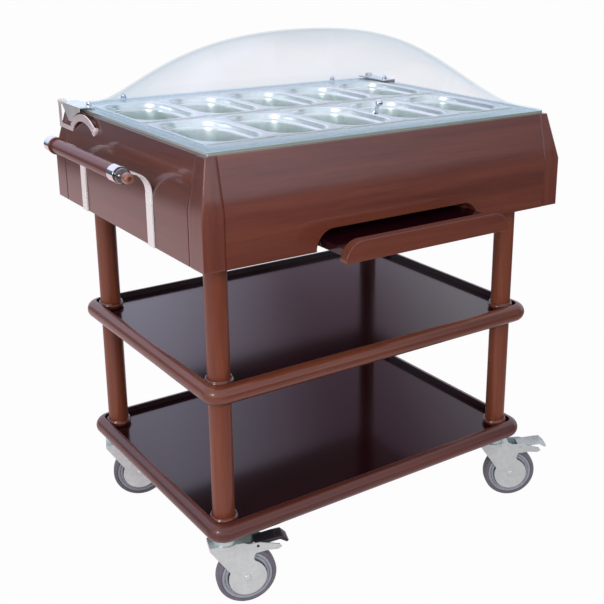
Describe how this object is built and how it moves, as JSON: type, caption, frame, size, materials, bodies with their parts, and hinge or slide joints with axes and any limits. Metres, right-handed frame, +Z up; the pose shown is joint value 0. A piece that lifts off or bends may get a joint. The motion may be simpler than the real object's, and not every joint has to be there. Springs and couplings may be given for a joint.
{
  "type": "meze cart",
  "caption": "Wooden serving cart with drop-in steel pans under a hinged clear dome, a pull-out plate shelf, open shelves, a push handle and swivel casters.",
  "frame": {"origin": "middle of the bounding box's lower face, on the floor, as pictured with the plate shelf partly out", "axes": "+X along the cart from the push handle to the far end, +Y from the plate shelf's side to the dome's hinges, +Z up"},
  "size_m": [1.0662, 0.842, 1.1933],
  "materials": {
    "lacquered_wood": "mahogany lacquer, semi-gloss",
    "dark_wood": "dark glossy lacquer",
    "dark_laminate": "dark satin laminate",
    "raw_wood": "plain board",
    "stainless": "polished stainless sheet",
    "satin_steel": "satin",
    "chrome": "chrome plate",
    "clear_acrylic": "clear, polished",
    "zinc_steel": "bright zinc plate",
    "black_pedal": "black, ribbed",
    "grey_pedal": "light grey, ribbed",
    "grey_rubber": "matt grey, non-marking",
    "grey_plastic": "matt grey"
  },
  "bodies": {
    "cart": {"lower_shelf_rim": "lacquered_wood", "lower_shelf_panel": "dark_laminate", "middle_shelf_rim": "lacquered_wood", "middle_shelf_panel": "dark_laminate", "lower_posts": "lacquered_wood", "upper_posts": "lacquered_wood", "post_collars": "dark_wood", "tie_rods": "zinc_steel", "corner_blocks": "lacquered_wood", "front_panel": "lacquered_wood", "rear_panel": "lacquered_wood", "left_panel": "lacquered_wood", "right_panel": "lacquered_wood", "box_floor": "raw_wood", "well_liner": "stainless", "top_frame": "stainless", "divider_bars": "stainless", "pan_front_1": "stainless", "pan_front_2": "stainless", "pan_front_3": "stainless", "pan_front_4": "stainless", "pan_front_5": "stainless", "pan_rear_1": "stainless", "pan_rear_2": "stainless", "pan_rear_3": "stainless", "pan_rear_4": "stainless", "pan_rear_5": "stainless", "hinge_bracket_left": "satin_steel", "hinge_bracket_right": "satin_steel", "shelf_runners": "lacquered_wood", "handle_bar": "lacquered_wood", "handle_bands": "chrome", "handle_finial": "dark_wood", "handle_straps": "satin_steel", "caster_plates": "zinc_steel"},
    "dome": {"dome": "clear_acrylic", "dome_knob": "chrome", "dome_bolts": "chrome", "hinge_leaf_left": "chrome", "hinge_leaf_right": "chrome"},
    "plate_shelf": {"plate_shelf_board": "dark_laminate", "plate_shelf_lip": "lacquered_wood"},
    "swivel_front_left": {"fork_front_left": "zinc_steel", "axle_front_left": "zinc_steel"},
    "wheel_front_left": {"tyre_front_left": "grey_rubber", "hub_front_left": "grey_plastic"},
    "pedal_front_left": {"pedal_front_left": "black_pedal"},
    "swivel_front_right": {"fork_front_right": "zinc_steel", "axle_front_right": "zinc_steel"},
    "wheel_front_right": {"tyre_front_right": "grey_rubber", "hub_front_right": "grey_plastic"},
    "pedal_front_right": {"pedal_front_right": "grey_pedal"},
    "swivel_rear_left": {"fork_rear_left": "zinc_steel", "axle_rear_left": "zinc_steel"},
    "wheel_rear_left": {"tyre_rear_left": "grey_rubber", "hub_rear_left": "grey_plastic"},
    "swivel_rear_right": {"fork_rear_right": "zinc_steel", "axle_rear_right": "zinc_steel"},
    "wheel_rear_right": {"tyre_rear_right": "grey_rubber", "hub_rear_right": "grey_plastic"}
  },
  "joints": [
    {"name": "dome_hinge", "type": "hinge", "parent": "cart", "child": "dome", "pos_m": [0.01393, 0.402, 1.02], "axis": [-1, 0, 0], "range_deg": [0, 85]},
    {"name": "plate_shelf_slide", "type": "slide", "parent": "cart", "child": "plate_shelf", "axis": [0, -1, 0], "range_m": [-0.1, 0.2]},
    {"name": "swivel_front_left", "type": "hinge", "parent": "cart", "child": "swivel_front_left", "pos_m": [-0.37807, -0.226, 0.149], "axis": [0, 0, 1], "continuous": true},
    {"name": "wheel_front_left", "type": "hinge", "parent": "swivel_front_left", "child": "wheel_front_left", "pos_m": [-0.33623, -0.2396, 0.066], "axis": [0.309, 0.9511, 0], "continuous": true},
    {"name": "pedal_front_left", "type": "hinge", "parent": "swivel_front_left", "child": "pedal_front_left", "pos_m": [-0.3134, -0.24701, 0.14], "axis": [0.309, 0.9511, 0], "range_deg": [0, 10]},
    {"name": "swivel_front_right", "type": "hinge", "parent": "cart", "child": "swivel_front_right", "pos_m": [0.40593, -0.226, 0.149], "axis": [0, 0, 1], "continuous": true},
    {"name": "wheel_front_right", "type": "hinge", "parent": "swivel_front_right", "child": "wheel_front_right", "pos_m": [0.44403, -0.248, 0.066], "axis": [0.5, 0.866, 0], "continuous": true},
    {"name": "pedal_front_right", "type": "hinge", "parent": "swivel_front_right", "child": "pedal_front_right", "pos_m": [0.46482, -0.26, 0.14], "axis": [0.5, 0.866, 0], "range_deg": [0, 10]},
    {"name": "swivel_rear_left", "type": "hinge", "parent": "cart", "child": "swivel_rear_left", "pos_m": [-0.37807, 0.326, 0.149], "axis": [0, 0, 1], "continuous": true},
    {"name": "wheel_rear_left", "type": "hinge", "parent": "swivel_rear_left", "child": "wheel_rear_left", "pos_m": [-0.33728, 0.30952, 0.066], "axis": [0.3746, 0.9272, 0], "continuous": true},
    {"name": "swivel_rear_right", "type": "hinge", "parent": "cart", "child": "swivel_rear_right", "pos_m": [0.40593, 0.326, 0.149], "axis": [0, 0, 1], "continuous": true},
    {"name": "wheel_rear_right", "type": "hinge", "parent": "swivel_rear_right", "child": "wheel_rear_right", "pos_m": [0.44727, 0.31095, 0.066], "axis": [0.342, 0.9397, 0], "continuous": true}
  ]
}
